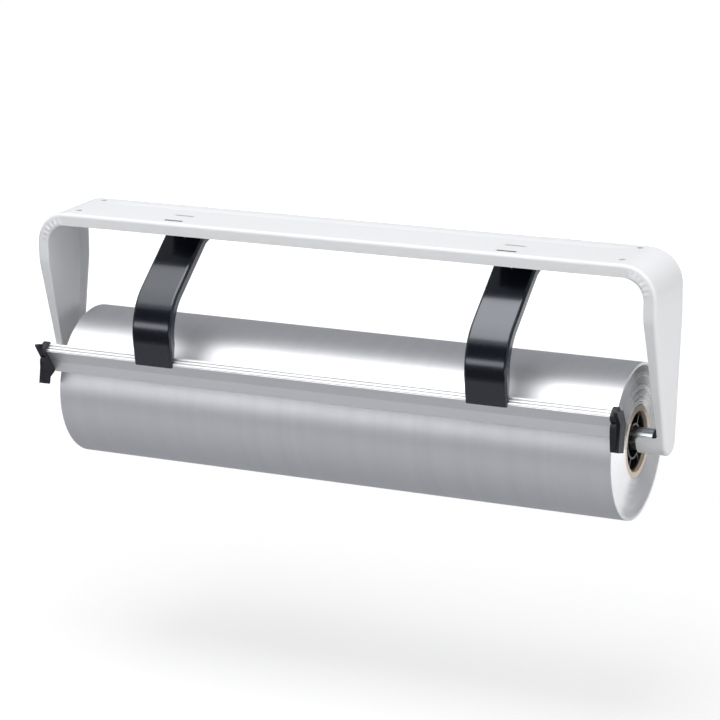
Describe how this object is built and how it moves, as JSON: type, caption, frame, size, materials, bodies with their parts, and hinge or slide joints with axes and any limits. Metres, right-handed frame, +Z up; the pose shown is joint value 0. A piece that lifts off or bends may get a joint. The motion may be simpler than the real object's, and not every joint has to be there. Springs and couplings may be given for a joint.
{
  "type": "under-counter roll dispenser",
  "caption": "Under-counter dispenser for a wide foil or paper roll: a bent sheet-steel frame, a loose axle tube in two cradles, and a sprung cutting rail on two arms.",
  "frame": {"origin": "centre of the four screw holes, on the top face that meets the underside of the counter", "axes": "+X along the roll, -Y towards the user, +Z up"},
  "size_m": [0.557, 0.147, 0.2214],
  "materials": {
    "frame_paint": "gloss",
    "bracket_steel": "gloss",
    "pin_steel": "zinc plated",
    "spring_steel": "drawn wire",
    "arm_paint": "gloss",
    "clip_steel": "satin",
    "rail_aluminium": "extruded",
    "black_plastic": "moulded",
    "tube_steel": "zinc plated",
    "plug_plastic": "moulded",
    "cardboard": "paper",
    "foil": "rolled foil"
  },
  "bodies": {
    "frame": {"frame": "frame_paint", "bracket_left": "bracket_steel", "bracket_right": "bracket_steel", "pivot_pin_left": "pin_steel", "pivot_pin_right": "pin_steel", "pin_clip_left": "spring_steel", "pin_clip_right": "spring_steel", "arm_spring_left": "spring_steel", "arm_spring_right": "spring_steel"},
    "cutter": {"pressure_arm_left": "arm_paint", "pressure_arm_right": "arm_paint", "rail_clip_left": "clip_steel", "rail_clip_right": "clip_steel", "cutting_rail": "rail_aluminium", "rail_cap_left": "black_plastic", "rail_cap_right": "black_plastic"},
    "axle": {"axle_tube": "tube_steel"},
    "roll": {"core_plug_left": "plug_plastic", "core_plug_right": "plug_plastic", "cardboard_core": "cardboard", "foil_roll": "foil"}
  },
  "joints": [
    {"name": "cutter_swing", "type": "hinge", "parent": "frame", "child": "cutter", "pos_m": [0, 0.00335, -0.0151], "axis": [-1, 0, 0], "range_deg": [0, 30], "stiffness_Nm_per_rad": 0.5, "springref_deg": -45.84, "deforming": ["arm_spring_left", "arm_spring_right"]},
    {"name": "axle_lift", "type": "slide", "parent": "frame", "child": "axle", "axis": [0, 0.342, 0.9397], "range_m": [0, 0.04]},
    {"name": "roll_spin", "type": "hinge", "parent": "axle", "child": "roll", "pos_m": [0, 0.00668, -0.15631], "axis": [1, 0, 0], "continuous": true}
  ]
}
